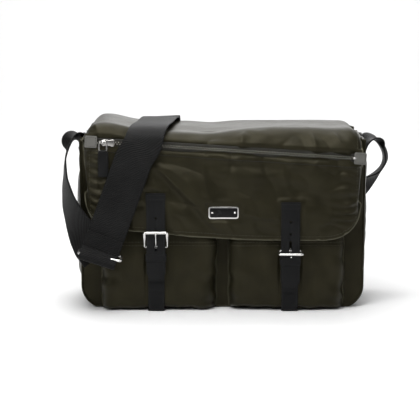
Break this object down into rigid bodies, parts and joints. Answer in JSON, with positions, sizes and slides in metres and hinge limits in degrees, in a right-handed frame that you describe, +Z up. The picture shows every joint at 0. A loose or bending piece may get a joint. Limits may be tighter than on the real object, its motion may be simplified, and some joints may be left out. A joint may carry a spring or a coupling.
{
  "type": "messenger bag",
  "caption": "Soft nylon messenger bag with a zipped flap, patch pockets, buckled leather closures and a webbing shoulder strap.",
  "frame": {"origin": "middle of the base, on the surface that the bag stands on", "axes": "+Z up, -Y towards the front with the flap, +X to the right seen from the front"},
  "size_m": [0.4534, 0.2047, 0.2504],
  "materials": {
    "nylon": "dark olive woven nylon, satin",
    "lining_cloth": "plain black lining, matte",
    "binding_cloth": "olive nylon binding, satin",
    "board": "matte",
    "leather": "black cross-grain leather, satin",
    "tab_leather": "grey coated fabric, satin",
    "webbing": "black twill webbing, matte",
    "tape_cloth": "dark zip tape, matte",
    "steel": "polished",
    "zip_metal": "polished",
    "magnet": "matte black"
  },
  "bodies": {
    "root": {"back_panel": "nylon", "base_board": "board", "base_panel": "nylon", "flap_hinge_strip": "nylon", "front_panel": "nylon", "gusset_left": "nylon", "gusset_right": "nylon", "lining": "lining_cloth", "lower_strap_left": "leather", "lower_strap_right": "leather", "pocket_hem_left": "nylon", "pocket_hem_right": "nylon", "pocket_left": "nylon", "pocket_magnet_left": "magnet", "pocket_magnet_right": "magnet", "pocket_right": "nylon", "rim_binding": "binding_cloth", "strap_anchor_left": "leather", "strap_anchor_right": "leather", "strap_left": "webbing", "strap_rear": "webbing", "strap_right": "webbing"},
    "flap": {"flap": "nylon", "flap_lining": "lining_cloth", "flap_piping": "binding_cloth", "zip_tape_upper": "tape_cloth", "zip_tape_lower": "tape_cloth", "zip_teeth_upper": "zip_metal", "zip_teeth_lower": "zip_metal", "zip_stops": "zip_metal", "zip_tab_left": "tab_leather", "zip_tab_right": "tab_leather", "blank_plate": "steel", "plate_rivets": "steel", "belt_left": "leather", "belt_right": "leather", "belt_seat_left": "leather", "belt_seat_right": "leather", "buckle_loop_left": "leather", "buckle_loop_right": "leather", "keeper_left": "leather", "keeper_right": "leather", "flap_magnet_left": "magnet", "flap_magnet_right": "magnet"},
    "strap": {"strap_crest": "webbing", "strap_front": "webbing", "strap_tail": "webbing", "adjuster_ring": "steel"},
    "slider": {"zip_slider": "steel"},
    "bail": {"zip_bail": "steel"},
    "pull": {"zip_pull": "leather"},
    "buckle_left": {"buckle_left": "steel"},
    "buckle_right": {"buckle_right": "steel"},
    "prong_left": {"prong_left": "steel"},
    "prong_right": {"prong_right": "steel"}
  },
  "joints": [
    {"name": "flap_fold", "type": "hinge", "parent": "root", "child": "flap", "pos_m": [0, 0.0575, 0.246], "axis": [-1, 0, 0], "range_deg": [0, 120], "deforming": ["strap_left"]},
    {"name": "strap_lift", "type": "hinge", "parent": "flap", "child": "strap", "pos_m": [0, 0.0575, 0.246], "axis": [-1, 0, 0], "range_deg": [0, 60]},
    {"name": "zip_run", "type": "slide", "parent": "flap", "child": "slider", "axis": [0.998, 0, -0.0628], "range_m": [0, 0.3]},
    {"name": "bail_swivel", "type": "hinge", "parent": "slider", "child": "bail", "pos_m": [-0.15752, -0.0945, 0.22947], "axis": [0, 1, 0], "range_deg": [-35, 35]},
    {"name": "pull_lift", "type": "hinge", "parent": "bail", "child": "pull", "pos_m": [-0.15752, -0.09285, 0.21747], "axis": [-1, 0, 0], "range_deg": [0, 60]},
    {"name": "buckle_left_turn", "type": "hinge", "parent": "flap", "child": "buckle_left", "pos_m": [-0.089, -0.0863, 0.089], "axis": [1, 0, 0], "range_deg": [0, 70]},
    {"name": "buckle_right_turn", "type": "hinge", "parent": "flap", "child": "buckle_right", "pos_m": [0.09, -0.0863, 0.084], "axis": [1, 0, 0], "range_deg": [-70, 0]},
    {"name": "prong_left_lift", "type": "hinge", "parent": "buckle_left", "child": "prong_left", "pos_m": [-0.089, -0.0863, 0.089], "axis": [1, 0, 0], "range_deg": [0, 15]},
    {"name": "prong_right_lift", "type": "hinge", "parent": "buckle_right", "child": "prong_right", "pos_m": [0.09, -0.0863, 0.084], "axis": [1, 0, 0], "range_deg": [0, 15]}
  ]
}
